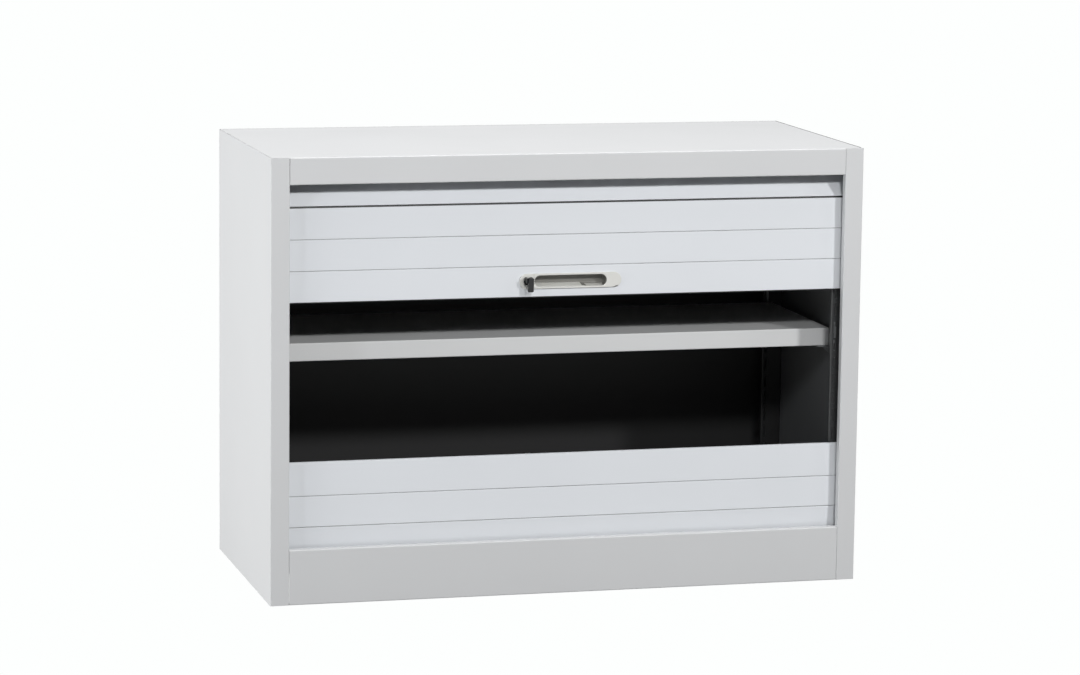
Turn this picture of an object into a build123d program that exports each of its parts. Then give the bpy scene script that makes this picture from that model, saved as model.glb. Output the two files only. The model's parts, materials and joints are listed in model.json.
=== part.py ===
from build123d import *
import math
import os

os.makedirs("parts", exist_ok=True)

# Cabinet body, in mm: X to the right, Y into the cabinet, Z up, origin under the middle
width = 1000.0
depth = 460.0
height = 730.0
sheet = 1.2  # steel sheet of the panels
bend = 1.8  # outer radius of a fold
seam = 0.3  # gap between two panels that meet
stile_width = 31.3
stile_return = 12.0
fascia_height = 44.0
fascia_return = 13.0
plinth_height = 91.0
plinth_return = 13.0
top_flange = 15.0
foot_flange = 25.0
rear_flange = 15.0

# Panels that close off the runs of the two shutters
floor_level = 62.0
ceiling_drop = 62.0  # from the top
inner_front = 108.0  # front edge of floor and ceiling panel, from the cabinet's front
front_hem = 6.0
rear_hem = 14.0

# Perforated uprights
upright_sheet = 1.5
upright_reach = 35.8  # from the side panel inwards
upright_lip = 8.0
upright_leg = 30.0
front_upright_setback = 38.0
rear_upright_setback = 400.0
front_upright_margin = 142.0  # from the floor, and from the top
slot_width = 3.8
slot_length = 19.5
slot_pitch = 30.0
slot_inset = 6.6  # slot row, from the upright's inner edge

# Shelf and its clips
shelf_setback = 88.0
shelf_depth = 307.0
shelf_level = 416.0
shelf_slot_rise = 8.0  # middle of the slot that carries the shelf, above its top
shelf_lip = 30.0
shelf_lip_return = 12.0
shelf_end_gap = 22.4  # shelf's end to the side panel
shelf_end_flange = 25.0
clip_plate = 3.0
clip_tab_width = 14.0
clip_tab_sheet = 1.5
clip_bearing = 34.0  # how far a clip reaches under the shelf
clip_tip = 1.5
clip_heel = 10.0  # under the shelf, at the upright
clip_arm = 12.0
clip_relief = 0.4  # share of the arm cut away below its shoulder
clip_shoulder = 17.0  # below the slot's lower end
clip_tongue = 11.0
clip_hook = 2.3
clip_hook_drop = 7.5
rest_gap = 0.3

# Shutter slats: hollow sections hooked into each other
slat_pitch = 51.3
slat_thickness = 9.0
slat_wall = 1.2
slat_setback = 20.0
slat_end_gap = 10.8  # slat's end to the side panel's inner face
hinge_depth = 4.5  # hinge axis behind the slat's front
pin_radius = 1.6
socket_radius = 1.9
socket_rim = 3.0
socket_relief = 3.3
neck_width = 1.3
slat_seam = 0.8
slat_edge = 0.6  # bevel along a slat's two front edges
mitre_angle = 28.0  # slope of a slat's edge behind the hinge
socket_open_front = 27.0
socket_open_back = 80.0
chamber_margin = 5.5
chamber_rib = 1.4

# Where each shutter stands, and its slats counted from its edge
upper_edge_drop = 237.0  # from the cabinet's top
upper_first_slat = 50.6
upper_slats = 7
lower_edge = 230.6
lower_first_slat = 55.3
lower_slats = 6
flat_overrun = 10.0  # how far a flat slat may reach past the corner's start

# Guides: hinge axes run up the front, round a corner and back
corner_radius = 52.0
corner_start = 93.0  # from the floor, and as far from the top
guide_sheet = 1.5
guide_reach = 14.8
guide_play = 1.1
guide_inner_play = 0.8
guide_sweep = 75.0  # degrees of corner that the outer leg follows
guide_inner_margin = 195.0  # inner leg's end from the floor, and from the top
guide_web_width = 16.5

# Rails under the two horizontal runs
rail_leg = 12.2
rail_rear = 440.0
upper_rail_front = 132.0
lower_rail_front = 90.0
upper_rail_play = 0.4
lower_rail_drop = 14.0  # room for the lower run to swing through

# Nylon gliders in the slats' ends
glider_length = 8.5
glider_margin = 9.0
glider_play = 0.25
glider_chamfer = 2.0
glider_plug = 10.0
glider_side_play = 0.3

# Recessed pull and lock in the upper shutter's lowest slat
pull_x = 3.0
pull_end = 25.15  # plate beyond each end of the recess, for the lock and the screw's boss
pull_height = 25.6
pull_plate = 2.5
pull_edge = 1.0
pull_groove = 0.5
recess_length = 122.7
recess_height = 19.5
recess_depth = 20.0
recess_wall = 1.2
recess_play = 0.5
ramp_rise = 5.0
ramp_length = 83.0
pull_screw_radius = 1.9
pull_screw_inset = 8.0  # from the end of the recess

lock_face = 2.0  # how far the lock's face stands in front of the pull
lock_face_radius = 5.4
lock_body_radius = 7.6
lock_body_depth = 12.7
lock_hole_play = 0.3
lock_bore = 3.6
plug_radius = 3.5
nut_radius = 10.5
nut_height = 3.0
cam_sheet = 2.0
cam_width = 8.0
cam_foot_inner = 36.0
cam_reach = 41.0
cam_foot_sweep = 30.0
cam_gap = 0.4
cam_screw_radius = 5.0
cam_screw_head = 1.6

key_blade = 1.2
key_blade_height = 4.6
key_blade_depth = 12.0
key_collar_radius = 4.4
key_collar = 3.2
key_ear = 2.2
key_ear_height = 8.0
key_bow_width = 10.0
key_bow_height = 25.0
key_bow_thickness = 5.0
key_bow_corner = 3.5
key_bow_edge = 1.2
key_bow_offset = 3.0  # middle of the bow, to the right of the lock's axis
key_bow_gap = 4.0  # from the collar to the bow
key_play = 0.3
key_pin_radius = 1.0
key_pin_play = 0.1
key_pin_rise = 4.0  # hinge of the bow above the lock's axis
key_bow_rise = 9.0  # top of the bow above the lock's axis

keeper_sheet = 1.5
keeper_width = 26.0
keeper_height = 14.0
keeper_bar_width = 8.5
keeper_bar_height = 3.6
keeper_bar_offset = 5.5  # bar beside the cam's arm
keeper_drop = 0.6

# Edge seal of the upper shutter
seal_width = 2.6
seal_stand = 2.0
seal_depth = 2.4
seal_play = 0.1

# Flush rivets of the back panel
rivet_head = 3.0
rivet_shank = 1.6
rivet_play = 0.1
rivet_margin = 70.0
rivets_per_side = 2

front = -depth / 2
rear = depth / 2
side = width / 2
inner_side = side - sheet
opening_half = side - stile_width - seam
slat_half = inner_side - slat_end_gap
hinge_y = front + slat_setback + hinge_depth
ceiling_level = height - ceiling_drop
upper_edge = height - upper_edge_drop
shelf_slot_level = shelf_level + shelf_slot_rise
corner_turn = height - corner_start
corner_y = hinge_y + corner_radius
run_rise = corner_turn + corner_radius


def save_shape(shape, label):
    shape.label = label
    export_step(shape, f"parts/{label}.step")


def save(piece, label):
    save_shape(piece.part, label)


def folded(plane, points, length, thickness=sheet):
    """A bent sheet: its outer line runs through the points, the metal lies to their left."""
    with BuildPart() as piece:
        with BuildSketch(plane):
            with BuildLine():
                FilletPolyline(points, radius=bend)
                offset(amount=thickness, side=Side.LEFT)
            make_face()
        extrude(amount=length)
    return piece.part


def block(x_from, x_to, y_from, y_to, z_from, z_to):
    with BuildPart(mode=Mode.PRIVATE) as piece:
        with Locations(((x_from + x_to) / 2, (y_from + y_to) / 2, (z_from + z_to) / 2)):
            Box(x_to - x_from, y_to - y_from, z_to - z_from)
    return piece.part


def disc(x, z, y_from, y_to, radius):
    """A round bar along Y."""
    with BuildPart(mode=Mode.PRIVATE) as piece:
        with BuildSketch(Plane.XZ.offset(-y_to)):
            with Locations((x, z)):
                Circle(radius)
        extrude(amount=y_to - y_from)
    return piece.part


def save_pair(left, name):
    """Writes a left-hand piece and its mirror image."""
    save(left, f"left_{name}")
    with BuildPart() as right:
        mirror(left.part, about=Plane.YZ)
    save(right, f"right_{name}")


# ---- cabinet body ----
def side_panel():
    levels = [rivet_margin + k * (height - 2 * rivet_margin) / (rivets_per_side - 1)
              for k in range(rivets_per_side)]
    outline = [(-side + rear_flange, rear - sheet), (-side, rear - sheet), (-side, front),
               (-side + stile_width, front), (-side + stile_width, front + stile_return)]
    with BuildPart() as panel:
        add(folded(Plane.XY, outline, height))
        add(block(-inner_side, -inner_side + foot_flange, front + sheet, rear - 2 * sheet, 0, sheet))
        with BuildSketch(Plane.XZ.offset(-(rear - sheet))):
            with Locations([(-side + rear_flange / 2 + sheet, z) for z in levels]):
                Circle(rivet_shank + rivet_play)
        extrude(amount=2 * sheet, mode=Mode.SUBTRACT)
        add(block(-inner_side, -side + stile_width, front + sheet, rear, height - sheet - seam, height),
            mode=Mode.SUBTRACT)
        add(block(-inner_side, -side + rear_flange, rear - 3 * sheet, rear, height - top_flange - seam, height),
            mode=Mode.SUBTRACT)
    save_pair(panel, "side_panel")
    return levels


def top_panel():
    top_half = inner_side - seam
    across = [(top_half, height - top_flange), (top_half, height),
              (-top_half, height), (-top_half, height - top_flange)]
    fascia = [(front + 3 * stile_return, height), (front, height),
              (front, height - fascia_height), (front + fascia_return, height - fascia_height)]
    top_front = front + sheet + seam
    with BuildPart() as panel:
        add(folded(Plane.XZ.offset(-(rear - sheet - seam)), across, rear - sheet - seam - top_front))
        add(folded(Plane.YZ.offset(-opening_half), fascia, 2 * opening_half))
    save(panel, "top_panel")


def plinth_panel():
    outline = [(front + plinth_return, plinth_height), (front, plinth_height),
               (front, 0), (front + plinth_return, 0)]
    with BuildPart() as panel:
        add(folded(Plane.YZ.offset(-opening_half), outline, 2 * opening_half))
    save(panel, "plinth_panel")


def back_panel(levels):
    rivet_x = side - rear_flange / 2 - sheet
    spots = [(x, z) for x in (-rivet_x, rivet_x) for z in levels]
    with BuildPart() as panel:
        add(block(-inner_side, inner_side, rear - sheet, rear, seam, height))
        with BuildSketch(Plane.XZ.offset(-rear)):
            with Locations(spots):
                Circle(rivet_head + rivet_play)
        extrude(amount=sheet, mode=Mode.SUBTRACT)
    save(panel, "back_panel")
    with BuildPart() as rivets:
        for x, z in spots:
            add(disc(x, z, rear - sheet, rear, rivet_head))
            add(disc(x, z, rear - 3 * sheet, rear - sheet, rivet_shank))
    save(rivets, "back_panel_rivets")


def run_panels():
    panel_half = inner_side - seam
    panel_front = front + inner_front
    panel_rear = rear - sheet
    floor = [(panel_rear, floor_level - rear_hem), (panel_rear, floor_level),
             (panel_front, floor_level), (panel_front, floor_level - front_hem)]
    ceiling = [(panel_front, ceiling_level + front_hem), (panel_front, ceiling_level),
               (panel_rear, ceiling_level), (panel_rear, ceiling_level + rear_hem)]
    corner = rear_flange + sheet
    for points, label in ((floor, "floor_panel"), (ceiling, "ceiling_panel")):
        with BuildPart() as panel:
            add(folded(Plane.YZ.offset(-panel_half), points, 2 * panel_half))
            for end in (-1, 1):
                x_near, x_far = sorted((end * panel_half, end * (panel_half - corner)))
                add(block(x_near, x_far, rear - 3 * sheet, rear, 0, height), mode=Mode.SUBTRACT)
        save(panel, label)


def upright(setback, bottom, top):
    """A perforated upright on the left, with a row of slots facing the front."""
    foot = front + setback
    inner = -inner_side + upright_reach
    outline = [(-inner_side, foot + upright_leg), (-inner_side, foot),
               (inner, foot), (inner, foot + upright_lip)]
    first = math.ceil((bottom + slot_length - shelf_slot_level) / slot_pitch)
    last = math.floor((top - slot_length - shelf_slot_level) / slot_pitch)
    centres = [(inner - slot_inset, shelf_slot_level + k * slot_pitch) for k in range(first, last + 1)]
    with BuildPart() as piece:
        add(folded(Plane.XY.offset(bottom), outline, top - bottom, upright_sheet))
        with BuildSketch(Plane.XZ.offset(-(foot + 2 * upright_sheet))):
            with Locations(centres):
                Rectangle(slot_width, slot_length)
        extrude(amount=3 * upright_sheet, mode=Mode.SUBTRACT)
    return piece


def shelf():
    nose = front + shelf_setback
    tail = nose + shelf_depth
    low = shelf_level - shelf_lip
    half = inner_side - shelf_end_gap
    outline = [(tail - shelf_lip_return, low), (tail, low), (tail, shelf_level),
               (nose, shelf_level), (nose, low), (nose + shelf_lip_return, low)]
    with BuildPart() as piece:
        add(folded(Plane.YZ.offset(-half), outline, 2 * half))
        for end in (-1, 1):
            x_near, x_far = sorted((end * half, end * (half - sheet)))
            add(block(x_near, x_far, nose + sheet, tail - sheet,
                      shelf_level - shelf_end_flange, shelf_level - sheet / 2))
    save(piece, "shelf")


def clip(upright_y, shelf_edge, direction):
    """A bracket hooked into a slot at upright_y, reaching under the shelf; direction is +1 to the rear."""
    bearing = shelf_level - shelf_lip - rest_gap
    slot_x = -inner_side + upright_reach - slot_inset
    skin = upright_sheet if direction > 0 else 0.0
    face = upright_y + skin + direction * rest_gap
    behind = upright_y + upright_sheet - skin - direction * rest_gap
    tip = shelf_edge + direction * clip_bearing
    slot_low = shelf_slot_level - slot_length / 2
    slot_high = shelf_slot_level + slot_length / 2
    low = slot_low + rest_gap
    high = low + clip_tongue
    hook = behind - direction * clip_hook
    arm_depth = min(clip_arm, abs(shelf_edge - face) - rest_gap)
    relief = face + direction * clip_relief * arm_depth
    arm = face + direction * arm_depth
    outline = [(tip, bearing), (tip, bearing - clip_tip), (face, bearing - clip_heel), (face, bearing),
               (relief, bearing), (relief, slot_low - clip_shoulder), (face, slot_low - clip_shoulder),
               (face, low), (behind, low), (behind, low - clip_hook_drop), (hook, low - clip_hook_drop),
               (hook, high), (face, high), (face, slot_high), (arm, slot_high), (arm, bearing)]
    tab_from, tab_to = sorted((shelf_edge, tip))
    with BuildPart(mode=Mode.PRIVATE) as piece:
        with BuildSketch(Plane.YZ.offset(slot_x - clip_plate / 2)):
            with BuildLine():
                Polyline(outline, close=True)
            make_face()
        extrude(amount=clip_plate)
        add(block(slot_x - clip_plate / 2, slot_x - clip_plate / 2 + clip_tab_width,
                  tab_from, tab_to, bearing - clip_tab_sheet, bearing))
    return piece.part


def shelf_clips():
    nose = front + shelf_setback
    left_front = clip(front + front_upright_setback, nose, 1)
    left_rear = clip(front + rear_upright_setback, nose + shelf_depth, -1)
    with BuildPart() as clips:
        for piece in (left_front, left_rear):
            add(piece)
            mirror(piece, about=Plane.YZ)
    save(clips, "shelf_clips")


# ---- guides and rails ----
def guide_leg(radius, thickness, outwards, reach):
    """A strip that follows the shutter's corner, up the front and round the upper corner."""
    low, high = corner_start, corner_turn
    with BuildPart(mode=Mode.PRIVATE) as leg:
        with BuildSketch(Plane.YZ.offset(-inner_side)):
            with BuildLine():
                CenterArc((corner_y, low), radius, 180 + guide_sweep, -guide_sweep)
                Line((corner_y - radius, low), (corner_y - radius, high))
                CenterArc((corner_y, high), radius, 180, -guide_sweep)
                offset(amount=thickness, side=Side.LEFT if outwards else Side.RIGHT)
            make_face()
        extrude(amount=reach)
    return leg.part


def shutter_guide():
    outer = corner_radius + hinge_depth + guide_play
    inner_face = front + slat_setback + slat_thickness + guide_inner_play
    with BuildPart() as guide:
        add(guide_leg(outer, guide_sheet, True, guide_reach))
        add(guide_leg(outer, guide_web_width, False, guide_sheet))
        add(block(-inner_side, -inner_side + guide_reach, inner_face, inner_face + guide_sheet,
                  guide_inner_margin, height - guide_inner_margin))
    save_pair(guide, "shutter_guide")


def rail(level, rail_front, name):
    outline = [(-inner_side + guide_reach, level), (-inner_side, level), (-inner_side, level - rail_leg)]
    rail_end = front + rail_rear
    with BuildPart() as piece:
        add(folded(Plane.XZ.offset(-rail_end), outline, rail_end - (front + rail_front), guide_sheet))
    save_pair(piece, name)


# ---- shutters ----
def next_hinge(point):
    """The hinge one pitch further along: up the front, round the corner, then back along the run."""
    y, rise = point
    if rise + slat_pitch <= corner_turn + flat_overrun:
        return (hinge_y, rise + slat_pitch)
    reach = math.hypot(corner_y - y, corner_turn - rise)
    behind = math.acos((reach**2 + corner_radius**2 - slat_pitch**2) / (2 * reach * corner_radius))
    angle = behind - math.atan2(corner_turn - rise, corner_y - y)
    if angle <= math.pi / 2:
        return (corner_y - corner_radius * math.cos(angle), corner_turn + corner_radius * math.sin(angle))
    return (y + math.sqrt(slat_pitch**2 - (run_rise - rise) ** 2), run_rise)


def hinge_points(edge_rise, first_slat, slats):
    """Hinge axes from the shutter's edge on, as Y and rise; the rise of the lower one counts down."""
    points = [(hinge_y, edge_rise), (hinge_y, edge_rise + first_slat)]
    for _ in range(slats - 1):
        points.append(next_hinge(points[-1]))
    return points


def flat_count(points):
    return sum(1 for y, rise in points[1:] if y == hinge_y)


def slat_plane(start, end, flip):
    """Local x goes into the cabinet from the slat's front, local y along the slat."""
    length = math.dist(start, end)
    along = Vector(0, (end[0] - start[0]) / length, (end[1] - start[1]) / length)
    inward = Vector(0, along.Z, -along.Y)
    origin = Vector(-slat_half, start[0], start[1]) - inward * hinge_depth
    if not flip:
        return Plane(origin, x_dir=inward, z_dir=(1, 0, 0))
    mirrored = Vector(slat_half, origin.Y, height - origin.Z)
    return Plane(mirrored, x_dir=(0, inward.Y, -inward.Z), z_dir=(-1, 0, 0))


def slat_section(length, has_pin, has_socket):
    """A slat's cross-section: pin and neck at its start, socket at its end, two chambers."""
    start = slat_seam / 2 if has_pin else 0.0
    end = length - (slat_seam / 2 if has_socket else 0.0)
    slope = (slat_thickness - hinge_depth) * math.tan(math.radians(mitre_angle))
    low = start + (slope if has_pin else 0.0)
    high = end - (slope if has_socket else 0.0)
    middle = length / 2
    chambers = [(chamber_margin, middle - chamber_rib / 2), (middle + chamber_rib / 2, length - chamber_margin)]
    chamber_width = slat_thickness - 2 * slat_wall
    with BuildSketch() as section:
        with BuildLine():
            Polyline((0, start + slat_edge), (0, end - slat_edge), (slat_edge, end), (hinge_depth, end),
                     (slat_thickness, high), (slat_thickness, low), (hinge_depth, start),
                     (slat_edge, start), close=True)
        make_face()
        for bottom, top in chambers:
            with Locations((slat_thickness / 2, (bottom + top) / 2)):
                Rectangle(chamber_width, top - bottom, mode=Mode.SUBTRACT)
        if has_pin:
            with Locations((hinge_depth, 0)):
                Circle(socket_relief, mode=Mode.SUBTRACT)
                Circle(pin_radius)
            with Locations((hinge_depth, socket_relief / 2 + slat_wall / 4)):
                Rectangle(neck_width, socket_relief + slat_wall / 2)
        if has_socket:
            with Locations((hinge_depth, length)):
                Circle(socket_rim)
                Circle(socket_radius, mode=Mode.SUBTRACT)
            with BuildLine():
                tip_angles = (90 + socket_open_front, 90 - socket_open_back)
                reach = 2 * socket_rim
                tips = [(hinge_depth + reach * math.cos(math.radians(a)),
                         length + reach * math.sin(math.radians(a))) for a in tip_angles]
                Polyline((hinge_depth, length), tips[0], (hinge_depth + reach, length + 2 * reach),
                         tips[1], close=True)
            make_face(mode=Mode.SUBTRACT)
        if not has_pin:
            with Locations((slat_thickness / 2, seal_depth / 2)):
                Rectangle(seal_width + 2 * seal_play, seal_depth, mode=Mode.SUBTRACT)
    return section.sketch


def make_slat(points, index, flip):
    """Slat number index, counted from the shutter's edge."""
    start, end = points[index - 1], points[index]
    has_socket = index < len(points) - 1
    section = slat_section(math.dist(start, end), index > 1, has_socket)
    with BuildPart() as piece:
        with BuildSketch(slat_plane(start, end, flip)):
            add(section)
        extrude(amount=2 * slat_half)
    return piece


def make_gliders(points, indices, flip):
    """Nylon end pieces, one at each end of each slat, plugged into the slat's lower chamber."""
    with BuildPart() as piece:
        for index in indices:
            start, end = points[index - 1], points[index]
            length = math.dist(start, end)
            chamber = length / 2 - chamber_rib / 2 - chamber_margin
            plane = slat_plane(start, end, flip)
            for base, way in ((plane, -1), (plane.offset(2 * slat_half), 1)):
                with BuildSketch(base):
                    with Locations((slat_thickness / 2, length / 2)):
                        nose = Rectangle(slat_thickness - 2 * glider_play, length - 2 * glider_margin)
                    chamfer(nose.vertices(), glider_chamfer)
                extrude(amount=way * glider_length)
                with BuildSketch(base):
                    with Locations((slat_thickness / 2, chamber_margin + chamber / 2)):
                        Rectangle(slat_thickness - 2 * slat_wall - 2 * glider_side_play,
                                  chamber - 2 * glider_side_play)
                extrude(amount=-way * glider_plug)
    return piece


# ---- pull, lock and key on the upper shutter ----
pull_z = upper_edge + upper_first_slat / 2
pull_front = front + slat_setback - pull_plate
slat_front = front + slat_setback
slat_rear = slat_front + slat_thickness
pull_length = recess_length + 2 * pull_end
lock_x = pull_x - (pull_length - pull_height) / 2
recess_x = pull_x
boss_x = recess_x + recess_length / 2 + pull_screw_inset
boss_rear = slat_rear - slat_wall - seam
cam_front = slat_front + lock_body_depth + cam_gap


def recess_void():
    """The finger recess: a rounded slot with a ramp along its lower edge."""
    floor = pull_z - recess_height / 2
    back = pull_front + recess_depth
    left = recess_x - recess_length / 2
    with BuildPart(mode=Mode.PRIVATE) as void:
        with BuildSketch(Plane.XZ.offset(-back)):
            with Locations((recess_x, pull_z)):
                SlotOverall(recess_length, recess_height)
        extrude(amount=recess_depth)
        with BuildSketch(Plane.YZ.offset(left)):
            with BuildLine():
                Polyline((pull_front + pull_edge, floor), (back, floor), (back, floor + ramp_rise), close=True)
            make_face()
        extrude(amount=ramp_length, mode=Mode.SUBTRACT)
    return void.part


def pull_moulding():
    pocket_back = pull_front + recess_depth + recess_wall
    with BuildPart() as moulding:
        with BuildSketch(Plane.XZ.offset(-slat_front)):
            with Locations((pull_x, pull_z)):
                SlotOverall(pull_length, pull_height)
        extrude(amount=pull_plate)
        chamfer(moulding.faces().sort_by(Axis.Y)[0].edges(), pull_edge)
        with BuildSketch(Plane.XZ.offset(-pocket_back)):
            with Locations((recess_x, pull_z)):
                SlotOverall(recess_length + 2 * recess_wall, recess_height + 2 * recess_wall)
        extrude(amount=pocket_back - slat_front)
        add(recess_void(), mode=Mode.SUBTRACT)
        add(disc(lock_x, pull_z, pull_front, slat_front, lock_face_radius + lock_hole_play),
            mode=Mode.SUBTRACT)
        groove_x = recess_x - recess_length / 2 - pull_groove
        add(block(groove_x - pull_groove / 2, groove_x + pull_groove / 2, pull_front,
                  pull_front + pull_groove, pull_z - pull_height / 2, pull_z + pull_height / 2),
            mode=Mode.SUBTRACT)
        add(disc(boss_x, pull_z, slat_front, boss_rear, 2 * pull_screw_radius))
    save(moulding, "pull_moulding")
    with BuildPart() as screw:
        add(disc(boss_x, pull_z, slat_rear, slat_rear + pull_screw_radius, 2 * pull_screw_radius))
        add(disc(boss_x, pull_z, boss_rear, slat_rear, pull_screw_radius))
    save(screw, "pull_screw")


def pull_slat(points):
    """The lowest slat, cut out for the pull's pocket, its boss and the lock."""
    pocket = 2 * (recess_wall + recess_play)
    with BuildPart() as piece:
        add(make_slat(points, 1, False).part)
        with BuildSketch(Plane.XZ.offset(-slat_rear)):
            with Locations((recess_x, pull_z)):
                SlotOverall(recess_length + pocket, recess_height + pocket)
            with Locations((lock_x, pull_z)):
                Circle(lock_body_radius + lock_hole_play)
            with Locations((boss_x, pull_z)):
                Circle(pull_screw_radius + lock_hole_play)
        extrude(amount=slat_thickness, mode=Mode.SUBTRACT)
        add(disc(boss_x, pull_z, slat_front, slat_rear - slat_wall, 2 * pull_screw_radius + lock_hole_play),
            mode=Mode.SUBTRACT)
    # Four solids that meet round the pocket, so that none of them wraps round it
    reach = (recess_length - recess_height) / 2
    cuts = (-slat_half, recess_x - reach, recess_x + reach, slat_half)
    lengths = []
    for x_from, x_to in zip(cuts, cuts[1:]):
        lengths += (piece.part & block(x_from, x_to, slat_front, slat_rear, 0, height)).solids()
    save_shape(Compound(lengths), "upper_slat_1")


def lock_parts():
    face = pull_front - lock_face
    body_rear = slat_front + lock_body_depth
    plug_rear = cam_front + cam_sheet
    with BuildPart() as housing:
        add(disc(lock_x, pull_z, face, slat_front, lock_face_radius))
        add(disc(lock_x, pull_z, slat_front, body_rear, lock_body_radius))
        add(disc(lock_x, pull_z, face, body_rear, lock_bore), mode=Mode.SUBTRACT)
    save(housing, "lock_housing")
    with BuildPart() as nut:
        with BuildSketch(Plane.XZ.offset(-(slat_rear + nut_height))):
            with Locations((lock_x, pull_z)):
                RegularPolygon(nut_radius, 6)
                Circle(lock_body_radius + seam, mode=Mode.SUBTRACT)
        extrude(amount=nut_height)
    save(nut, "lock_nut")
    blade_top = key_blade_height / 2 + key_play
    with BuildPart() as plug:
        add(disc(lock_x, pull_z, face + seam, plug_rear, plug_radius))
        add(block(lock_x - key_blade / 2 - key_play / 2, lock_x + key_blade / 2 + key_play / 2, face,
                  face + key_blade_depth, pull_z - blade_top, pull_z + blade_top), mode=Mode.SUBTRACT)
    save(plug, "lock_plug")
    with BuildPart() as cam:
        with BuildSketch(Plane.XZ.offset(-(cam_front + cam_sheet))):
            with Locations((lock_x, pull_z)):
                Circle(cam_width)
            with Locations((lock_x - cam_reach / 2, pull_z)):
                Rectangle(cam_reach, cam_width)
            with BuildLine():
                CenterArc((lock_x, pull_z), cam_reach, 180, cam_foot_sweep)
                CenterArc((lock_x, pull_z), cam_foot_inner, 180, cam_foot_sweep)
                Line((lock_x - cam_reach, pull_z), (lock_x - cam_foot_inner, pull_z))
                swing = math.radians(180 + cam_foot_sweep)
                Line((lock_x + cam_reach * math.cos(swing), pull_z + cam_reach * math.sin(swing)),
                     (lock_x + cam_foot_inner * math.cos(swing), pull_z + cam_foot_inner * math.sin(swing)))
            make_face()
            with Locations((lock_x, pull_z)):
                Circle(plug_radius, mode=Mode.SUBTRACT)
        extrude(amount=cam_sheet)
    save(cam, "lock_cam")
    with BuildPart() as screw:
        add(disc(lock_x, pull_z, plug_rear, plug_rear + cam_screw_head, cam_screw_radius))
        chamfer(screw.faces().sort_by(Axis.Y)[-1].edges(), cam_screw_head / 3)
    save(screw, "cam_screw")
    return face


def key_parts(face):
    """A folding key: blade and collar in the plug, an ear beside the bow, and the bow hanging down."""
    collar_front = face - key_collar
    pin_y = collar_front - key_bow_gap - key_bow_thickness / 2
    pin_z = pull_z + key_pin_rise
    bow_left = lock_x - key_bow_width / 2 + key_bow_offset
    ear_right = bow_left - key_play
    ear_left = ear_right - key_ear
    bow_top = pull_z + key_bow_rise
    ear_front = pin_y - key_ear_height / 2
    with BuildPart() as shank:
        add(block(lock_x - key_blade / 2, lock_x + key_blade / 2, collar_front,
                  face + key_blade_depth - key_play,
                  pull_z - key_blade_height / 2, pull_z + key_blade_height / 2))
        add(disc(lock_x, pull_z, collar_front, face, key_collar_radius))
        add(block(ear_left, ear_right, ear_front, face - key_play, pin_z - key_ear_height / 2 - key_pin_radius,
                  pin_z + key_ear_height / 2))
        with BuildSketch(Plane.YZ.offset(ear_left)):
            with Locations((pin_y, pin_z)):
                Circle(key_pin_radius)
        extrude(amount=key_ear, mode=Mode.SUBTRACT)
    save(shank, "key_shank")
    with BuildPart() as pin:
        with BuildSketch(Plane.YZ.offset(ear_left)):
            with Locations((pin_y, pin_z)):
                Circle(key_pin_radius)
        extrude(amount=key_ear + key_play + key_bow_width)
    save(pin, "key_hinge_pin")
    with BuildPart() as bow:
        with BuildSketch(Plane.XZ.offset(-(pin_y + key_bow_thickness / 2))):
            with Locations((bow_left + key_bow_width / 2, bow_top - key_bow_height / 2)):
                RectangleRounded(key_bow_width, key_bow_height, key_bow_corner)
        extrude(amount=key_bow_thickness)
        chamfer(bow.faces().sort_by(Axis.Y)[0].edges(), key_bow_edge)
        with BuildSketch(Plane.YZ.offset(bow_left)):
            with Locations((pin_y, pin_z)):
                Circle(key_pin_radius + key_pin_play)
        extrude(amount=key_bow_width, mode=Mode.SUBTRACT)
    save(bow, "key_bow")


def lock_keeper():
    """A bar behind the lower shutter's edge, which the cam's foot swings under."""
    bar_left = lock_x + keeper_bar_offset
    bar_right = bar_left + keeper_bar_width
    bar_top = lower_edge - keeper_drop
    bar_rear = cam_front + cam_sheet + 2 * cam_gap + keeper_bar_height
    with BuildPart() as keeper:
        add(block(bar_left, bar_left + keeper_width, slat_rear, slat_rear + keeper_sheet,
                  bar_top - keeper_height, bar_top))
        add(block(bar_left, bar_right, slat_rear, bar_rear, bar_top - keeper_bar_height, bar_top))
    save(keeper, "lock_keeper")


def edge_seal():
    groove_y = slat_front + slat_thickness / 2
    with BuildPart() as seal:
        add(block(-slat_half, slat_half, groove_y - seal_width / 2, groove_y + seal_width / 2,
                  upper_edge - seal_stand, upper_edge + seal_depth - seal_play))
    save(seal, "upper_edge_seal")


def shutters():
    upper = hinge_points(upper_edge, upper_first_slat, upper_slats)
    lower = hinge_points(height - lower_edge, lower_first_slat, lower_slats)
    pull_slat(upper)
    for index in range(2, upper_slats + 1):
        save(make_slat(upper, index, False), f"upper_slat_{index}")
    for index in range(1, lower_slats + 1):
        save(make_slat(lower, index, True), f"lower_slat_{index}")
    for points, flip, name in ((upper, False, "upper"), (lower, True, "lower")):
        flat = flat_count(points)
        save(make_gliders(points, range(1, flat + 1), flip), f"{name}_flat_gliders")
        for index in range(flat + 1, len(points)):
            save(make_gliders(points, [index], flip), f"{name}_gliders_{index}")


rivet_levels = side_panel()
top_panel()
plinth_panel()
back_panel(rivet_levels)
run_panels()
save_pair(upright(front_upright_setback, front_upright_margin, height - front_upright_margin), "front_upright")
save_pair(upright(rear_upright_setback, floor_level, ceiling_level), "rear_upright")
shelf()
shelf_clips()
shutter_guide()
rail(run_rise - (slat_thickness - hinge_depth) - upper_rail_play, upper_rail_front, "upper_rail")
rail(height - run_rise - hinge_depth - lower_rail_drop, lower_rail_front, "lower_rail")
shutters()
pull_moulding()
key_parts(lock_parts())
lock_keeper()
edge_seal()
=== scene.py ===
import json
import math

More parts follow.
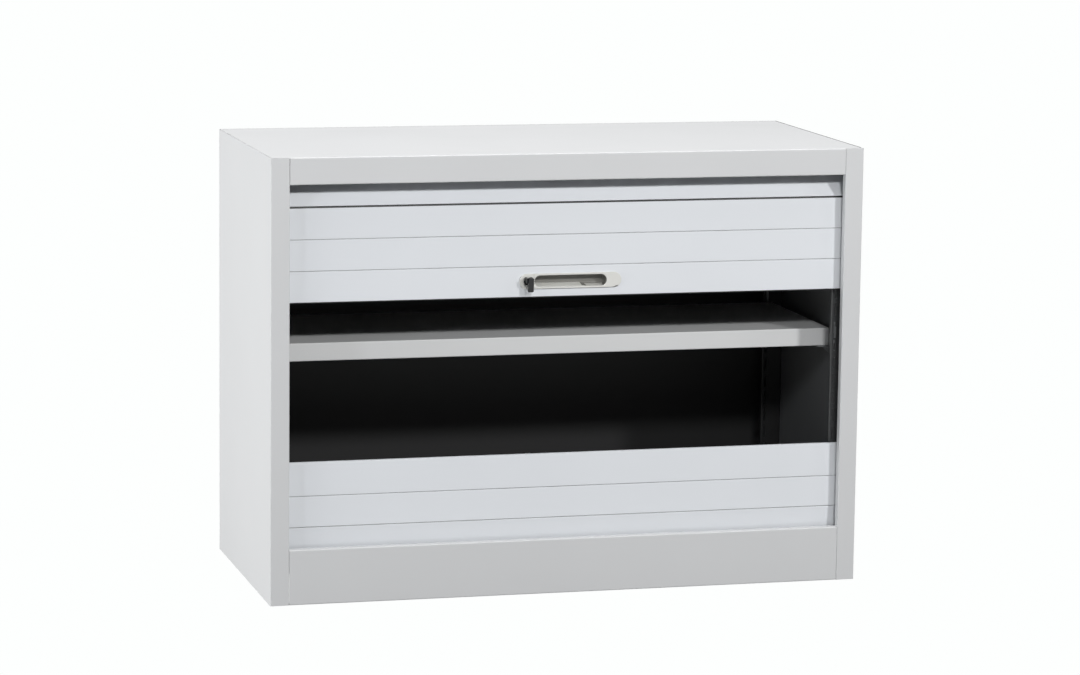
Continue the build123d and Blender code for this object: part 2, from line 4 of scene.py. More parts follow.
import bmesh
import bpy
import numpy as np
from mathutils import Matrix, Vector


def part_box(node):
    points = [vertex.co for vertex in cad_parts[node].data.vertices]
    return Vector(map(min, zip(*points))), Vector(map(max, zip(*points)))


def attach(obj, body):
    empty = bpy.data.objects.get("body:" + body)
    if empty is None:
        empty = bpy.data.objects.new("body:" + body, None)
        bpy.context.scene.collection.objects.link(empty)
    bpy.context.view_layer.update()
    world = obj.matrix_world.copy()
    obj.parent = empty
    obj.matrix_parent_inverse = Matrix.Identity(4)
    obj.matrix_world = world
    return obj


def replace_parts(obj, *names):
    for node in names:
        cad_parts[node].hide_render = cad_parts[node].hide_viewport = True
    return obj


mm = 0.001

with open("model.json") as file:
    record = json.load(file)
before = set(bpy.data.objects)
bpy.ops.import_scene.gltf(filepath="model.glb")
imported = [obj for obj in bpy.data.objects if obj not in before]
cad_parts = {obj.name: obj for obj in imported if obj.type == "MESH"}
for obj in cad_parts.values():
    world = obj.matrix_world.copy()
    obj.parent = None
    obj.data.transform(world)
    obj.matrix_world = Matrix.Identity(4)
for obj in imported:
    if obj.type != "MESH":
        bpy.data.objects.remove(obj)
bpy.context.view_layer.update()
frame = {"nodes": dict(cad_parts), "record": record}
nodes = frame["nodes"]
print("frame loaded:", len(nodes), "nodes")


def srgbToLinear(hexColour):  # "#rrggbb" as written in a paint chart, to Blender's linear colour
    values = [int(hexColour[i:i + 2], 16) / 255 for i in (1, 3, 5)]
    linear = [v / 12.92 if v <= 0.04045 else ((v + 0.055) / 1.055) ** 2.4 for v in values]
    return (*linear, 1.0)


def addNode(tree, kind, inputs, **settings):  # an input is a plain value, or the socket that feeds it
    node = tree.nodes.new(kind)
    for name, value in settings.items():
        setattr(node, name, value)
    for name, value in inputs.items():
        if isinstance(value, bpy.types.NodeSocket):
            tree.links.new(value, node.inputs[name])
        else:
            node.inputs[name].default_value = value
    return node


def newMaterial(name):
    material = bpy.data.materials.new(name)
    material.use_nodes = True
    material.node_tree.nodes.clear()
    return material, material.node_tree


# Powder coat: melted plastic powder, so the film has a soft orange peel and no brush marks.
# orangePeel is the real ripple's 1 to 2 mm drawn about twice as coarse, so that it shows.
paints = {
    "bodyPowderCoat": {"colour": "#D9DADB", "shade": "#D4D5D6", "roughness": 0.42,
                       "orangePeel": 3.0, "depth": 0.010},
    "slatPowderCoat": {"colour": "#EAEDF1", "shade": "#E6E9ED", "roughness": 0.38,
                       "orangePeel": 2.5, "depth": 0.006},
    "shelfPowderCoat": {"colour": "#DEDFDF", "shade": "#D9DADA", "roughness": 0.45,
                        "orangePeel": 3.0, "depth": 0.010},
    "innerPowderCoat": {"colour": "#1C1C1D", "shade": "#171718", "roughness": 0.55,
                        "orangePeel": 3.0, "depth": 0.010},
    "frontUprightPowderCoat": {"colour": "#4A4B4C", "shade": "#444546", "roughness": 0.4,
                               "orangePeel": 3.0, "depth": 0.008},
    # The rear uprights have the front uprights' profile; their much darker tone is painted shade, as they
    # stand deep inside.
    "rearUprightShadedCoat": {"colour": "#19191A", "shade": "#141415", "roughness": 0.5,
                              "orangePeel": 3.0, "depth": 0.008},
}
coatIor = 1.5
cloudSize = 180.0  # mm, slow drift of the film's thickness over a panel


def peelNormal(tree, place, sizeMm, depthMm):  # ripples of one size, as a bump of that depth
    ripple = addNode(tree, "ShaderNodeTexNoise", {"Vector": place, "Scale": 1 / (sizeMm * mm),
                                                  "Detail": 1.0})
    bump = addNode(tree, "ShaderNodeBump", {"Height": ripple.outputs["Fac"],
                                            "Distance": depthMm * mm, "Strength": 1.0})
    return bump.outputs["Normal"]


def clouded(tree, place, colour, shade):  # two close tones, drifting into each other
    cloud = addNode(tree, "ShaderNodeTexNoise", {"Vector": place, "Scale": 1 / (cloudSize * mm),
                                                 "Detail": 2.0})
    tone = addNode(tree, "ShaderNodeMix", {"Factor": cloud.outputs["Fac"], "A": srgbToLinear(shade),
                                           "B": srgbToLinear(colour)}, data_type="RGBA")
    return tone.outputs["Result"]


def powderCoat(name):
    paint = paints[name]
    material, tree = newMaterial(name)
    place = addNode(tree, "ShaderNodeTexCoord", {}).outputs["Object"]
    shader = addNode(tree, "ShaderNodeBsdfPrincipled", {
        "Base Color": clouded(tree, place, paint["colour"], paint["shade"]),
        "Roughness": paint["roughness"],
        "IOR": coatIor,
        "Normal": peelNormal(tree, place, paint["orangePeel"], paint["depth"]),
    })
    addNode(tree, "ShaderNodeOutputMaterial", {"Surface": shader.outputs[0]})
    return material


# A coat in two tones: the second tone is the side panels' grey inside, and painted shade in the slats'
# joints.
def twoToneAndShadeCoat(name, paint, innerTone, maskOf):  # the mask is 1 where the inner tone lies
    material, tree = newMaterial(name)
    place = addNode(tree, "ShaderNodeTexCoord", {}).outputs["Object"]
    split = addNode(tree, "ShaderNodeSeparateXYZ", {"Vector": place})
    tone = addNode(tree, "ShaderNodeMix", {
        "Factor": maskOf(tree, split),
        "A": clouded(tree, place, paint["colour"], paint["shade"]),
        "B": clouded(tree, place, innerTone["colour"], innerTone["shade"]),
    }, data_type="RGBA")
    shader = addNode(tree, "ShaderNodeBsdfPrincipled", {
        "Base Color": tone.outputs["Result"],
        "Roughness": paint["roughness"],
        "IOR": coatIor,
        "Normal": peelNormal(tree, place, paint["orangePeel"], paint["depth"]),
    })
    addNode(tree, "ShaderNodeOutputMaterial", {"Surface": shader.outputs[0]})
    return material


# The side panels are light outside and grey inside. The grey starts behind the front return and
# under the outer skin, in mm.
sideTones = {"startsBehind": 13.0, "skin": 0.6, "inner": {"colour": "#68696A", "shade": "#626364"}}


def sideCoat(name, halfWidth, frontY):
    def inner(tree, split):
        across = addNode(tree, "ShaderNodeMath", {0: split.outputs["X"]}, operation="ABSOLUTE")
        within = addNode(tree, "ShaderNodeMath", {
            0: across.outputs[0], 1: halfWidth - sideTones["skin"] * mm}, operation="LESS_THAN")
        behind = addNode(tree, "ShaderNodeMath", {
            0: split.outputs["Y"], 1: frontY + sideTones["startsBehind"] * mm}, operation="GREATER_THAN")
        both = addNode(tree, "ShaderNodeMath", {0: within.outputs[0], 1: behind.outputs[0]},
                       operation="MULTIPLY")
        return both.outputs[0]
    return twoToneAndShadeCoat(name, paints["bodyPowderCoat"], sideTones["inner"], inner)


# The photo's seams are darker than these lamps leave them. The lamps here leave the seams lighter than
# their real shadow gaps, so the joints between the flat slats carry a darker tone as painted shade,
# deeper than skin behind the face, in mm. The shutters' free edges stay light: the painted shade starts
# freeEdge away from the opening between them.
slatJointShade = {"skin": 0.9, "freeEdge": 8.0}
jointShadeTones = {
    # Both tones are painted shade: the flat seams' shallow gaps, and the open gap above the top flat slat
    # as a near-black painted shadow.
    "flatSlatJointShadeCoat": {"colour": "#ACADAE", "shade": "#A6A7A8"},
    "topFlatSlatSeamShadowCoat": {"colour": "#1C1C1D", "shade": "#171718"},  # its upper seam is near-black
}


def shadedJointSlatCoat(name, frontY, openingTop, openingBottom):
    def inner(tree, split):
        behind = addNode(tree, "ShaderNodeMath", {
            0: split.outputs["Y"], 1: frontY + slatJointShade["skin"] * mm}, operation="GREATER_THAN")
        middle, half = (openingTop + openingBottom) / 2, (openingTop - openingBottom) / 2
        height = addNode(tree, "ShaderNodeMath", {0: split.outputs["Z"], 1: middle}, operation="SUBTRACT")
        away = addNode(tree, "ShaderNodeMath", {0: height.outputs[0]}, operation="ABSOLUTE")
        beyond = addNode(tree, "ShaderNodeMath", {
            0: away.outputs[0], 1: half + slatJointShade["freeEdge"] * mm}, operation="GREATER_THAN")
        both = addNode(tree, "ShaderNodeMath", {0: behind.outputs[0], 1: beyond.outputs[0]},
                       operation="MULTIPLY")
        return both.outputs[0]
    return twoToneAndShadeCoat(name, paints["slatPowderCoat"], jointShadeTones[name], inner)


# Zinc plating on pressed steel: a grey metal with crystals a few mm across, some duller than others.
zinc = {"colour": "#A9ABAD", "shade": "#8E9092", "crystal": 4.0, "smooth": 0.32, "dull": 0.5}


def zincPlate(name):
    material, tree = newMaterial(name)
    place = addNode(tree, "ShaderNodeTexCoord", {}).outputs["Object"]
    crystals = addNode(tree, "ShaderNodeTexVoronoi", {"Vector": place,
                                                      "Scale": 1 / (zinc["crystal"] * mm)})
    grey = addNode(tree, "ShaderNodeRGBToBW", {"Color": crystals.outputs["Color"]})
    tone = addNode(tree, "ShaderNodeMix", {"Factor": grey.outputs[0], "A": srgbToLinear(zinc["shade"]),
                                           "B": srgbToLinear(zinc["colour"])}, data_type="RGBA")
    gloss = addNode(tree, "ShaderNodeMapRange", {"Value": grey.outputs[0], "To Min": zinc["smooth"],
                                                 "To Max": zinc["dull"]})
    shader = addNode(tree, "ShaderNodeBsdfPrincipled", {
        "Base Color": tone.outputs["Result"], "Metallic": 1.0, "Roughness": gloss.outputs["Result"]})
    addNode(tree, "ShaderNodeOutputMaterial", {"Surface": shader.outputs[0]})
    return material


# Moulded plastics and rubber: a spark-eroded mould leaves a fine matt grain. The real grain of
# about 0.1 mm is drawn several times as coarse, so that it shows.
plastics = {
    "blackNylon": {"colour": "#1B1B1C", "shade": "#151516", "roughness": 0.45,
                   "grain": 1.0, "depth": 0.008},
    "pullAbs": {"colour": "#E4E4DF", "shade": "#DFDFDA", "roughness": 0.34,
                "grain": 1.2, "depth": 0.004},
    # The next entry is the pull's plastic darkened as painted shade, for the cup's wall above the ledge.
    "recessShadeAbs": {"colour": "#7A7974", "shade": "#706F6A", "roughness": 0.5,
                  "grain": 0.6, "depth": 0.020},
    "keyAbs": {"colour": "#141516", "shade": "#0E0F10", "roughness": 0.30,
               "grain": 0.8, "depth": 0.004},
    "sealRubber": {"colour": "#1D1D1D", "shade": "#151515", "roughness": 0.75,
                   "grain": 0.8, "depth": 0.010},
}
plasticIor = 1.53


def mouldedPlastic(name):
    plastic = plastics[name]
    material, tree = newMaterial(name)
    place = addNode(tree, "ShaderNodeTexCoord", {}).outputs["Object"]
    shader = addNode(tree, "ShaderNodeBsdfPrincipled", {
        "Base Color": clouded(tree, place, plastic["colour"], plastic["shade"]),
        "Roughness": plastic["roughness"],
        "IOR": plasticIor,
        "Normal": peelNormal(tree, place, plastic["grain"], plastic["depth"]),
    })
    addNode(tree, "ShaderNodeOutputMaterial", {"Surface": shader.outputs[0]})
    return material


# Black zinc: plated and chromated steel, dark but still a metal, with turning marks round the lock.
# The marks' real pitch of about 0.1 mm is drawn five times as coarse, so that it shows.
blackZinc = {"colour": "#2B2D30", "shade": "#1E2022", "roughness": 0.28,
             "marks": 0.5, "markDepth": 0.004, "markWander": 0.6}


def blackZincPlate(name, centre):
    material, tree = newMaterial(name)
    place = addNode(tree, "ShaderNodeTexCoord", {}).outputs["Object"]
    centred = addNode(tree, "ShaderNodeMapping", {
        "Vector": place, "Location": tuple(-c for c in centre)}, vector_type="POINT")
    marks = addNode(tree, "ShaderNodeTexWave", {
        "Vector": centred.outputs[0], "Scale": 1 / (blackZinc["marks"] * mm),
        "Distortion": blackZinc["markWander"]}, wave_type="RINGS", rings_direction="Y")
    bump = addNode(tree, "ShaderNodeBump", {"Height": marks.outputs["Fac"],
                                            "Distance": blackZinc["markDepth"] * mm})
    shader = addNode(tree, "ShaderNodeBsdfPrincipled", {
        "Base Color": clouded(tree, place, blackZinc["colour"], blackZinc["shade"]),
        "Metallic": 1.0, "Roughness": blackZinc["roughness"], "Normal": bump.outputs["Normal"]})
    addNode(tree, "ShaderNodeOutputMaterial", {"Surface": shader.outputs[0]})
    return material


def roundedOutline(left, right, halfHeight, leftRadius, rightRadius, steps):
    # A rectangle with round corners, its left and right corners of their own radius: four quarter
    # arcs in turn, each centred one radius inside its corner, then straight to the next arc.
    # A point is its arc's centre plus the radius times the cosine and the sine of its angle.
    turn = np.linspace(0, math.pi / 2, steps)
    corners = [(right, rightRadius, -1, 0), (right, rightRadius, 1, 1),
               (left, leftRadius, 1, 2), (left, leftRadius, -1, 3)]
    points, normals = [], []
    for edge, radius, up, quarter in corners:
        angle = turn + (quarter - 1) * math.pi / 2
        way = np.stack([np.cos(angle), np.sin(angle)], 1)
        inset = -radius if edge == right else radius
        points.append(np.array([edge + inset, up * (halfHeight - radius)]) + radius * way)
        normals.append(way)
        straight = np.linspace(0, 1, steps)[1:-1, None]
        following = corners[(quarter + 1) % 4]
        nextInset = -following[1] if following[0] == right else following[1]
        nextStart = np.array([following[0] + nextInset, following[2] * (halfHeight - following[1])])
        nextStart = nextStart + following[1] * way[-1]
        points.append(points[-1][-1] + straight * (nextStart - points[-1][-1]))
        normals.append(np.repeat(way[-1:], len(straight), 0))
    return np.concatenate(points), np.concatenate(normals)


mergeDistance = 0.5e-6  # m, closes a ring that has shrunk to a point or a line


def ringMesh(name, rings, material):
    # Rings of equal length, each joined to the next by quads. The first and the last are either
    # the same ring, or each shrunk to a point or a line, so that the surface is closed.
    grid = np.stack(rings)
    count, around = grid.shape[:2]
    here = np.arange(count - 1)[:, None] * around + np.arange(around)
    beside = np.arange(count - 1)[:, None] * around + np.roll(np.arange(around), -1)
    quads = np.stack([here, beside, beside + around, here + around], -1).reshape(-1, 4)
    mesh = bpy.data.meshes.new(name)
    mesh.from_pydata(grid.reshape(-1, 3).tolist(), [], quads.tolist())
    work = bmesh.new()
    work.from_mesh(mesh)
    bmesh.ops.remove_doubles(work, verts=work.verts, dist=mergeDistance)
    bmesh.ops.recalc_face_normals(work, faces=work.faces)
    work.to_mesh(mesh)
    work.free()
    mesh.polygons.foreach_set("use_smooth", np.ones(len(mesh.polygons), bool))
    mesh.materials.append(material)
    piece = bpy.data.objects.new(name, mesh)
    bpy.context.scene.collection.objects.link(piece)
    return piece


def quarterRound(radius, steps):
    # How far in and how far forward a rounded edge has come, from its side on: in by the radius
    # times one minus the cosine, forward by the radius times the sine.
    angle = np.linspace(0, math.pi / 2, steps)
    return radius * (1 - np.cos(angle)), radius * np.sin(angle)


def onFront(outline, depth, centre):  # an outline in mm across the front, at a depth behind the centre
    flat = np.empty((len(outline), 3))
    flat[:, 0] = outline[:, 0] + centre[0]
    flat[:, 1] = centre[1] + depth
    flat[:, 2] = outline[:, 1] + centre[2]
    return flat * mm


# Sizes in mm from the middle of the pull, on the slat's face. The cup is a stadium sunk into the
# plate, with a concave ledge along its lower edge that is lower over the last third.
pull = {
    "centre": (3.0, -210.0, 518.3),
    "left": -86.5, "right": 86.5, "joint": -62.1, "jointGap": 0.35, "jointRadius": 0.5,
    "halfHeight": 12.8, "proud": 2.5, "frontEdge": 0.45, "lockHole": 5.7,
    "cupHalfLength": 61.35, "cupHalfHeight": 9.75, "cupDepth": 19.6, "cupRim": 0.5, "cupWall": 1.2,
    "ledgeRise": 4.6, "ledgeLow": 2.0, "ledgeStep": 21.6, "ledgeBlend": 0.75, "ledgeCurve": 1.6,
    "floorRound": 1.2,
}
pullSteps = {"rosette": 12, "rosetteFace": 2, "cup": 14, "cupFace": 3, "frontEdge": 7, "rim": 5,
             "wall": 12, "floorRound": 5, "floor": 2}


def plateRings(outline, normals):  # from the back edge, round the front edge, onto the face
    rings = [(outline, 0.0)]
    flatSide = pull["proud"] - pull["frontEdge"]
    for inward, forward in zip(*quarterRound(pull["frontEdge"], pullSteps["frontEdge"])):
        rings.append((outline - normals * inward, -(flatSide + forward)))
    return rings


def lockRosette(material):
    # Rings from the lock's hole out along the back, round the front edge, in along the face and
    # back through the hole. A point of the hole lies on the way from its axis to the outline's point.
    size = pull
    outline, normals = roundedOutline(size["left"], size["joint"] - size["jointGap"], size["halfHeight"],
                                      size["halfHeight"], size["jointRadius"], pullSteps["rosette"])
    axis = np.array([size["left"] + size["halfHeight"], 0.0])
    away = outline - axis
    hole = axis + size["lockHole"] * away / np.linalg.norm(away, axis=1)[:, None]
    rings = plateRings(outline, normals)
    face = rings[-1][0]
    rings += [(face + (hole - face) * share, -size["proud"])
              for share in np.linspace(0, 1, pullSteps["rosetteFace"] + 1)[1:]]
    rings = [(hole, 0.0)] + rings + [(hole, 0.0)]
    placed = [onFront(ring, depth, size["centre"]) for ring, depth in rings]
    piece = ringMesh("lock_rosette", placed, material)
    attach(piece, "upper_shutter")


def ledgeHeight(across, depthShare):
    # Height of the ledge over the cup's lower edge. It climbs quickly at first and then flattens:
    # its rise times (one minus what is left of the depth to the power of ledgeCurve). Across, the
    # rise steps down over the last third by one over (one plus e to the minus distance past
    # ledgeStep over ledgeBlend).
    size = pull
    step = 1 / (1 + np.exp(-(across - size["ledgeStep"]) / size["ledgeBlend"]))
    rise = size["ledgeRise"] + (size["ledgeLow"] - size["ledgeRise"]) * step
    return rise * (1 - (1 - depthShare) ** size["ledgeCurve"])


# The cup's wall is coarse and darker above the ledge, its dark tone painted shade, and the ledge stays
# smooth.
# The shaded faces start and end at these shares of the cup's depth, and this many mm above the ledge.
recessShade = {"start": 0.03, "end": 1.01, "aboveLedge": 0.3}


def paintRecessShade(piece, material):
    size = pull
    piece.data.materials.append(material)
    for face in piece.data.polygons:
        across, behind, up = (value / mm - middle for value, middle in zip(face.center, size["centre"]))
        inCup = (behind + size["proud"]) / size["cupDepth"]
        ledge = ledgeHeight(across, min(max(inCup, 0), 1)) - size["cupHalfHeight"]
        inDepth = recessShade["start"] < inCup < recessShade["end"]
        inHeight = ledge + recessShade["aboveLedge"] < up < size["cupHalfHeight"]
        inLength = abs(across) < size["cupHalfLength"]
        face.material_index = int(inDepth and inHeight and inLength)


def pullCup(material, recessShadeMaterial):
    # Rings of two outlines: the shell outside the cup from behind to the plate, the plate's front
    # edge and face, and the cup's rim, wall, floor's round and floor. The first and the last ring
    # are the cup's spine, half its height in from its wall. Points below the ledge are lifted to it.
    size = pull
    outline, normals = roundedOutline(size["joint"], size["right"], size["halfHeight"],
                                      size["jointRadius"], size["halfHeight"], pullSteps["cup"])
    cup, cupNormals = roundedOutline(-size["cupHalfLength"], size["cupHalfLength"], size["cupHalfHeight"],
                                     size["cupHalfHeight"], size["cupHalfHeight"], pullSteps["cup"])
    rings = plateRings(outline, normals)
    face = rings[-1][0]
    rim = cup + cupNormals * size["cupRim"]
    rings += [(face + (rim - face) * share, -size["proud"])
              for share in np.linspace(0, 1, pullSteps["cupFace"] + 2)[1:-1]]
    for down, inward in zip(*quarterRound(size["cupRim"], pullSteps["rim"])):
        rings.append((rim - cupNormals * inward, down - size["proud"]))
    wallEnd = size["cupDepth"] - size["floorRound"]
    rings += [(cup, depth - size["proud"])
              for depth in np.linspace(size["cupRim"], wallEnd, pullSteps["wall"])[1:]]
    for inward, forward in zip(*quarterRound(size["floorRound"], pullSteps["floorRound"])):
        rings.append((cup - cupNormals * inward, wallEnd + forward - size["proud"]))
    innermost = cup - cupNormals * size["floorRound"]
    spine = cup - cupNormals * size["cupHalfHeight"]
    floorDepth = size["cupDepth"] - size["proud"]
    rings += [(innermost + (spine - innermost) * share, floorDepth)
              for share in np.linspace(0, 1, pullSteps["floor"] + 1)[1:]]
    placed = []
    for ring, depth in rings:
        inCup = np.clip((depth + size["proud"]) / size["cupDepth"], 0, 1)
        floor = -size["cupHalfHeight"] + ledgeHeight(ring[:, 0], inCup)
        lifted = np.where(inCup > 0, np.maximum(ring[:, 1], floor), ring[:, 1])
        placed.append(onFront(np.stack([ring[:, 0], lifted], 1), depth, size["centre"]))
    shell = cup + cupNormals * size["cupWall"]
    back = floorDepth + size["cupWall"]
    outer = [(spine, back), (shell, back), (shell, 0.0)]
    placed = [onFront(ring, depth, size["centre"]) for ring, depth in outer] + placed
    piece = ringMesh("pull_cup", placed, material)
    paintRecessShade(piece, recessShadeMaterial)
    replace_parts(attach(piece, "upper_shutter"), "pull_moulding")


# The bow hangs from its pin in front of the lock: a slab with full round edges and a thumb dish.
bow = {"width": 10.0, "height": 25.0, "thickness": 5.0, "topRadius": 4.7, "bottomRadius": 2.6,
       "edge": 1.7, "dish": 0.45}
bowSteps = {"corner": 8, "edge": 6, "dish": 6}


def keyBow(material):
    # Rings from the middle of the rear out to the edge, round it, and in over the front. The dish's
    # depth is its full depth times the square of one minus the square of the share of the way out.
    low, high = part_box("key_bow")
    size = bow
    centre = ((low.x + high.x) / 2 / mm, high.y / mm, (low.z + high.z) / 2 / mm)
    # drawn lying on its side, top corners to the right, and then stood up
    outline, normals = roundedOutline(-size["height"] / 2, size["height"] / 2, size["width"] / 2,
                                      size["bottomRadius"], size["topRadius"], bowSteps["corner"])
    inward, forward = quarterRound(size["edge"], bowSteps["edge"])
    frontEdge = size["thickness"] - size["edge"]
    rings = [(outline - normals * i, size["edge"] - f) for i, f in zip(inward[::-1], forward[::-1])]
    rings += [(outline - normals * i, frontEdge + f) for i, f in zip(inward, forward)]
    flat = outline - normals * size["edge"]
    shares = np.linspace(1, 0, bowSteps["dish"] + 1)[1:]
    front = [(flat * share, size["thickness"] - size["dish"] * (1 - share ** 2) ** 2) for share in shares]
    rear = [(flat * share, 0.0) for share in shares[::-1]]
    placed = []
    for ring, lift in rear + rings + front:
        stood = np.stack([-ring[:, 1], ring[:, 0]], 1)
        placed.append(onFront(stood, -lift, centre))
    piece = ringMesh("key_bow_moulding", placed, material)
    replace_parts(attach(piece, "key_handle"), "key_bow")


# The lock's face ring: a bead, flatter from front to back, turned round the lock's axis.
bezel = {"radius": 4.9, "bead": 0.75, "flatness": 0.7, "stepsAround": 48, "beadSteps": 16}


def lockBezel(material):
    # A torus: the ring's radius is the mean radius plus the bead times the cosine of the angle round
    # the bead, and it stands forward by the bead times its flatness times the sine.
    low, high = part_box("lock_housing")
    centre = ((low.x + high.x) / 2 / mm, low.y / mm, (low.z + high.z) / 2 / mm)
    around = np.linspace(0, 2 * math.pi, bezel["stepsAround"], endpoint=False)
    rings = []
    for angle in np.linspace(0, 2 * math.pi, bezel["beadSteps"]):
        radius = bezel["radius"] + bezel["bead"] * math.cos(angle)
        circle = np.stack([radius * np.cos(around), radius * np.sin(around)], 1)
        rings.append(onFront(circle, -bezel["bead"] * bezel["flatness"] * math.sin(angle), centre))
    piece = ringMesh("lock_bezel", rings, material)
    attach(piece, "upper_shutter")


finishOfSlot = {
    "body_paint": "bodyPowderCoat", "interior_paint": "innerPowderCoat",
    "galvanised_steel": "zincPlate", "coated_aluminium": "slatPowderCoat",
    "nylon": "blackNylon", "pull_plastic": "pullAbs", "black_plated_metal": "blackZincPlate",
    "key_plastic": "keyAbs", "seal_rubber": "sealRubber",
}
finishOfNode = {  # the pieces whose finish differs from their slot's
    "left_side_panel": "sidePowderCoat", "right_side_panel": "sidePowderCoat",
    "left_front_upright": "frontUprightPowderCoat", "right_front_upright": "frontUprightPowderCoat",
    "left_rear_upright": "rearUprightShadedCoat", "right_rear_upright": "rearUprightShadedCoat",
    "upper_slat_1": "flatSlatJointShadeCoat", "upper_slat_2": "flatSlatJointShadeCoat",
    "upper_slat_3": "topFlatSlatSeamShadowCoat",
    "lower_slat_1": "flatSlatJointShadeCoat", "lower_slat_2": "flatSlatJointShadeCoat",
    "shelf": "shelfPowderCoat",
}


def makeFinishes():
    made = {name: powderCoat(name) for name in paints}
    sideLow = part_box("left_side_panel")[0]
    made["sidePowderCoat"] = sideCoat("sidePowderCoat", -sideLow.x, sideLow.y)
    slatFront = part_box("upper_slat_2")[0].y  # all the flat slats share it
    openingTop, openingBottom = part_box("upper_slat_1")[0].z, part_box("lower_slat_1")[1].z
    for name in jointShadeTones:
        made[name] = shadedJointSlatCoat(name, slatFront, openingTop, openingBottom)
    made["zincPlate"] = zincPlate("zincPlate")
    lockLow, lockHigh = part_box("lock_housing")
    made["blackZincPlate"] = blackZincPlate("blackZincPlate", tuple((lockLow + lockHigh) / 2))
    made.update({name: mouldedPlastic(name) for name in plastics})
    return made


def coatNodes(made):
    slotOf = {entry["node"]: entry["material_slot"] for entry in frame["record"]["subparts"]}
    for name, node in nodes.items():
        node.data.materials.clear()
        node.data.materials.append(made[finishOfNode.get(name, finishOfSlot[slotOf[name]])])


finishes = makeFinishes()
coatNodes(finishes)
print("finishes on the packed nodes")

lockRosette(finishes["pullAbs"])
pullCup(finishes["pullAbs"], finishes["recessShadeAbs"])
keyBow(finishes["keyAbs"])
lockBezel(finishes["blackZincPlate"])
print("pull, rosette, bezel and key made")


# The floor and the backdrop read as one white to the lens, a linear colour. The floor returns only
# a little light to the cabinet. It reaches floorHalf metres each way.
studio = {
    "white": (0.985, 0.998, 0.992, 1), "floorColour": "#6E6E6E", "floorHalf": 14.0,
    "ambient": 0.03, "ambientColour": "#F3F6FA", "mirrored": 0.5, "mirroredColour": "#FFFFFF",
}


def makeFloor():
    half = studio["floorHalf"]
    mesh = bpy.data.meshes.new("floor")
    corners = [(-half, -half, 0), (half, -half, 0), (half, half, 0), (-half, half, 0)]
    mesh.from_pydata(corners, [], [(0, 1, 2, 3)])
    floor = bpy.data.objects.new("floor", mesh)
    bpy.context.scene.collection.objects.link(floor)
    material, tree = newMaterial("studioFloor")
    lit = addNode(tree, "ShaderNodeBsdfDiffuse", {"Color": srgbToLinear(studio["floorColour"])})
    white = addNode(tree, "ShaderNodeEmission", {"Color": studio["white"]})
    path = addNode(tree, "ShaderNodeLightPath", {})
    seen = addNode(tree, "ShaderNodeMath", {
        0: path.outputs["Is Camera Ray"], 1: path.outputs["Is Glossy Ray"]}, operation="MAXIMUM")
    surface = addNode(tree, "ShaderNodeMixShader", {0: seen.outputs[0], 1: lit.outputs[0],
                                                    2: white.outputs[0]})
    addNode(tree, "ShaderNodeOutputMaterial", {"Surface": surface.outputs[0]})
    floor.data.materials.append(material)


def makeWorld():
    world = bpy.data.worlds.new("studioWorld")
    world.use_nodes = True
    tree = world.node_tree
    tree.nodes.clear()
    path = addNode(tree, "ShaderNodeLightPath", {})
    ambient = addNode(tree, "ShaderNodeBackground", {
        "Color": srgbToLinear(studio["ambientColour"]), "Strength": studio["ambient"]})
    white = addNode(tree, "ShaderNodeBackground", {"Color": studio["white"]})
    mirrored = addNode(tree, "ShaderNodeBackground", {
        "Color": srgbToLinear(studio["mirroredColour"]), "Strength": studio["mirrored"]})
    unseen = addNode(tree, "ShaderNodeMixShader", {
        0: path.outputs["Is Glossy Ray"], 1: ambient.outputs[0], 2: mirrored.outputs[0]})
    whole = addNode(tree, "ShaderNodeMixShader", {
        0: path.outputs["Is Camera Ray"], 1: unseen.outputs[0], 2: white.outputs[0]})
    addNode(tree, "ShaderNodeOutputWorld", {"Surface": whole.outputs[0]})
    bpy.context.scene.world = world


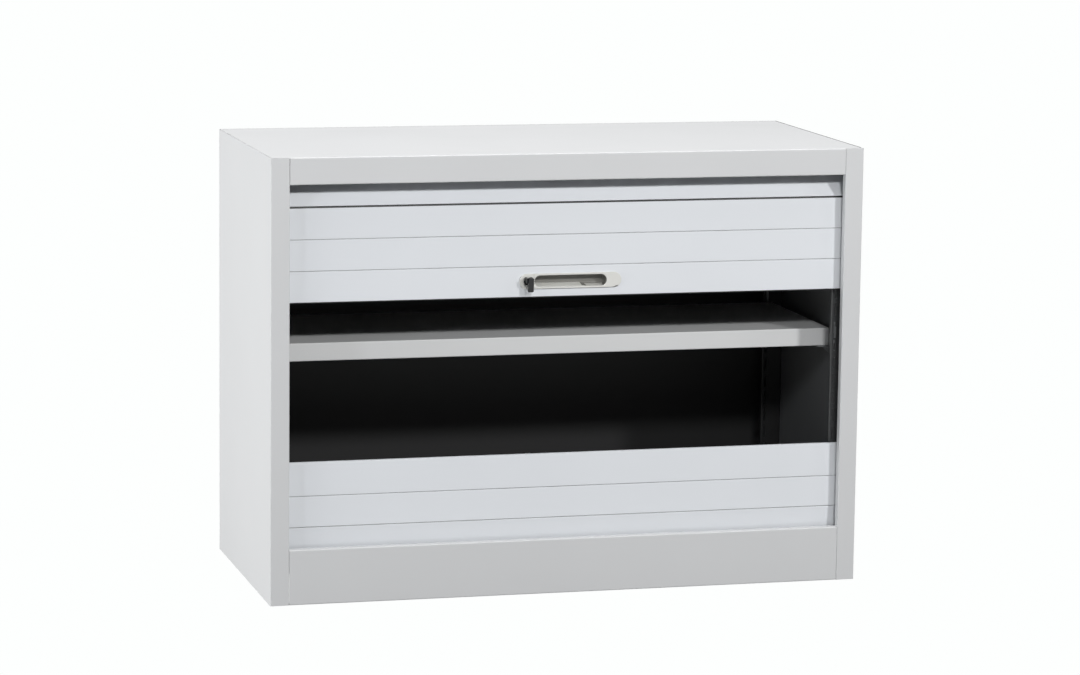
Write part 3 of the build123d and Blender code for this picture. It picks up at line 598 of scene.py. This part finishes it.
# Each lamp: degrees round from the front (right is positive), degrees up, metres away, wide and tall.
lamps = {
    "mainLamp": {"round": 31.7, "up": 24.0, "away": 5.0, "wide": 0.35, "tall": 0.35, "watts": 80.0,
                 "colour": "#FFFFFF"},
    "frontLamp": {"round": 0.0, "up": 27.0, "away": 4.5, "wide": 0.9, "tall": 0.35, "watts": 65.0,
                  "colour": "#FFFFFF"},
    "leftLamp": {"round": -58.0, "up": 14.0, "away": 5.0, "wide": 0.5, "tall": 0.5, "watts": 25.0,
                 "colour": "#F6FAFF"},
    "rightLamp": {"round": 60.0, "up": 15.0, "away": 5.0, "wide": 0.8, "tall": 0.8, "watts": 14.0,
                  "colour": "#FFFFFF"},
    "lowLamp": {"round": -74.0, "up": -1.0, "away": 3.0, "wide": 1.0, "tall": 0.7, "watts": 17.0,
                "colour": "#FFFFFF"},
    "sideLamp": {"round": -96.0, "up": 20.0, "away": 5.0, "wide": 1.6, "tall": 1.6, "watts": 124.0,
                 "colour": "#FFFFFF"},
    "backLamp": {"round": 160.0, "up": 1.0, "away": 4.0, "wide": 2.0, "tall": 0.3, "watts": 80.0,
                 "colour": "#FFFFFF"},  # low, so that it stays off the top
    "overheadLamp": {"round": 0.0, "up": 89.0, "away": 3.6, "wide": 2.6, "tall": 2.6, "watts": 97.0,
                     "colour": "#FFFFFF"},
}
lampAim = Vector((0, 0, 0.40))  # m


def makeLamps():
    for name, lamp in lamps.items():
        data = bpy.data.lights.new(name, "AREA")
        data.shape = "ELLIPSE"
        data.size, data.size_y = lamp["wide"], lamp["tall"]
        data.energy = lamp["watts"]
        data.color = srgbToLinear(lamp["colour"])[:3]
        turn, rise = math.radians(lamp["round"]), math.radians(lamp["up"])
        way = Vector((math.sin(turn) * math.cos(rise), -math.cos(turn) * math.cos(rise),
                      math.sin(rise)))
        light = bpy.data.objects.new(name, data)
        light.location = lampAim + way * lamp["away"]
        light.rotation_euler = (-way).to_track_quat("-Z", "Y").to_euler()
        bpy.context.scene.collection.objects.link(light)


# The camera stands left of the front and a little above the cabinet, far enough for a long lens:
# its place and its lens in mm, its turn in degrees, how far it sees in m.
view = {"place": (-1674.1, -6240.7, 1402.3), "turn": (81.107, -0.684, -14.990), "lens": 128.6,
        "sensor": 36.0, "farthest": 100.0}


def makeCamera():
    data = bpy.data.cameras.new("camera")
    data.lens = view["lens"]
    data.sensor_width = view["sensor"]
    data.clip_end = view["farthest"]
    camera = bpy.data.objects.new("camera", data)
    camera.location = [v * mm for v in view["place"]]
    camera.rotation_euler = [math.radians(a) for a in view["turn"]]
    bpy.context.scene.collection.objects.link(camera)
    bpy.context.scene.camera = camera


makeFloor()
makeWorld()
makeLamps()
makeCamera()
bpy.context.scene.view_settings.view_transform = "Standard"
print("studio ready")
